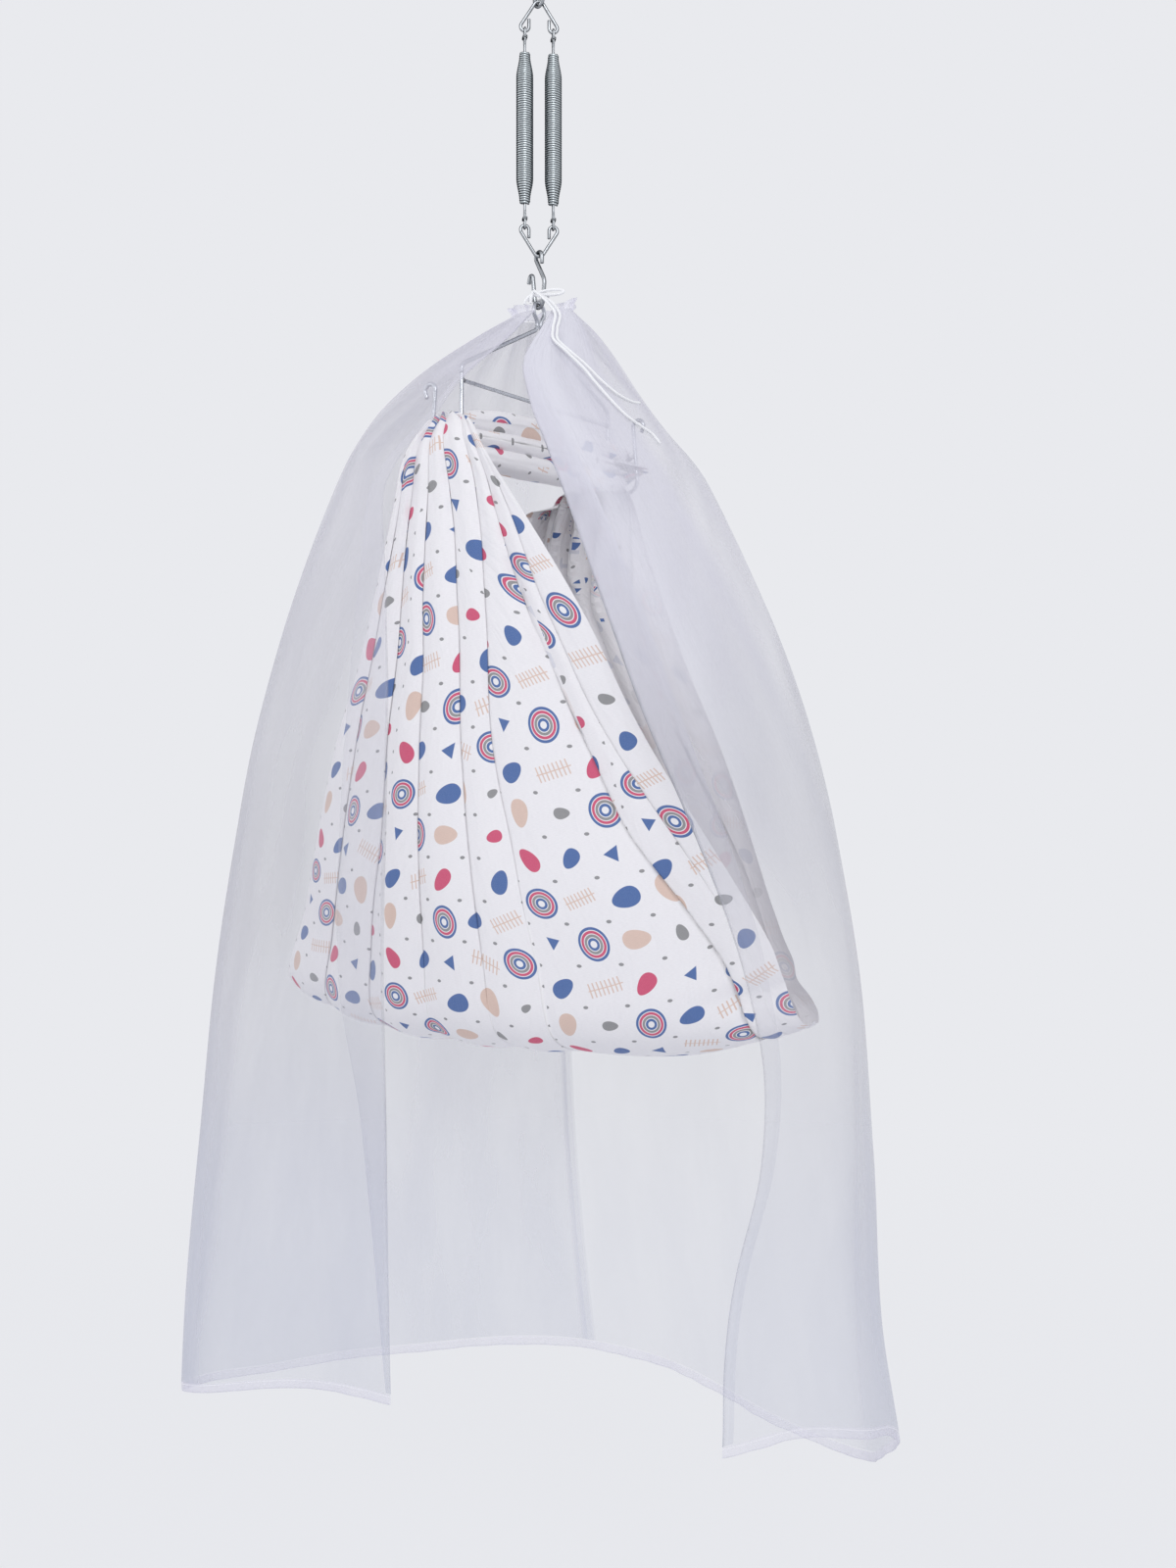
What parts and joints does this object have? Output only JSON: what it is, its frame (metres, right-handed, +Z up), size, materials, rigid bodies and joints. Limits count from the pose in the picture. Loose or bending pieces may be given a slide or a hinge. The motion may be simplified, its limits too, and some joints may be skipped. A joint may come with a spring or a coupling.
{
  "type": "hanging baby cradle",
  "caption": "cloth sling in a bent-wire frame, hung by paired extension springs, links and S-hooks, under a sheer gathered net",
  "frame": {"origin": "the seat inside the top hook's upper bend, where a ceiling hook carries the cradle", "axes": "+Z up; +X along the sling from the head end to the foot end; -Y to the front, where the net opens"},
  "size_m": [1.0907, 0.4559, 1.9518],
  "materials": {
    "galvanised": "bright zinc plate",
    "spring_steel": "zinc-plated spring wire",
    "frame_steel": "nickel-plated wire",
    "cotton": "printed plain-weave cotton",
    "netting": "sheer polyester voile",
    "cord": "braided polyester cord"
  },
  "bodies": {
    "top_hook_body": {"top_hook": "galvanised"},
    "upper_link_body": {"upper_link": "galvanised"},
    "springs": {"left_spring_coil": "spring_steel", "right_spring_coil": "spring_steel", "left_upper_swivel_loop": "galvanised", "left_upper_collar": "galvanised", "right_upper_swivel_loop": "galvanised", "right_upper_collar": "galvanised"},
    "spring_feet": {"left_lower_swivel_loop": "galvanised", "left_lower_collar": "galvanised", "right_lower_swivel_loop": "galvanised", "right_lower_collar": "galvanised"},
    "lower_link_body": {"lower_link": "galvanised"},
    "lower_hook_body": {"lower_hook": "galvanised"},
    "cradle": {"frame_hanger": "frame_steel", "front_sling_hook": "frame_steel", "back_sling_hook": "frame_steel", "frame_crossbar": "frame_steel", "sling_front_half": "cotton", "sling_back_half": "cotton", "sling_strap": "cotton", "net_left_panel": "netting", "net_right_panel": "netting", "net_left_hem": "netting", "net_right_hem": "netting", "net_neck_casing": "netting", "drawcord_tie": "cord", "drawcord_knot": "cord", "drawcord_bow": "cord", "drawcord_left_lead": "cord", "drawcord_right_lead": "cord", "drawcord_upper_tail": "cord", "drawcord_lower_tail": "cord"}
  },
  "joints": [
    {"name": "upper_link_rock", "type": "hinge", "parent": "top_hook_body", "child": "upper_link_body", "pos_m": [0, 0, -0.0682], "axis": [0.9397, -0.342, 0], "range_deg": [-18, 18]},
    {"name": "springs_swing", "type": "hinge", "parent": "upper_link_body", "child": "springs", "pos_m": [0, 0, -0.1012], "axis": [0.7071, 0.7071, 0], "range_deg": [-25, 25]},
    {"name": "springs_stretch", "type": "slide", "parent": "springs", "child": "spring_feet", "axis": [0, 0, -1], "range_m": [0, 0.12], "stiffness_N_per_m": 2500, "springref_m": -0.012, "deforming": ["left_spring_coil", "right_spring_coil"]},
    {"name": "lower_link_swing", "type": "hinge", "parent": "spring_feet", "child": "lower_link_body", "pos_m": [0, 0, -0.3492], "axis": [0.7071, 0.7071, 0], "range_deg": [-25, 25]},
    {"name": "lower_hook_rock", "type": "hinge", "parent": "lower_link_body", "child": "lower_hook_body", "pos_m": [0, 0, -0.3822], "axis": [0.9397, -0.342, 0], "range_deg": [-18, 18]},
    {"name": "cradle_rock", "type": "hinge", "parent": "lower_hook_body", "child": "cradle", "pos_m": [0, 0, -0.453], "axis": [0.9397, -0.342, 0], "range_deg": [-10, 10]}
  ]
}
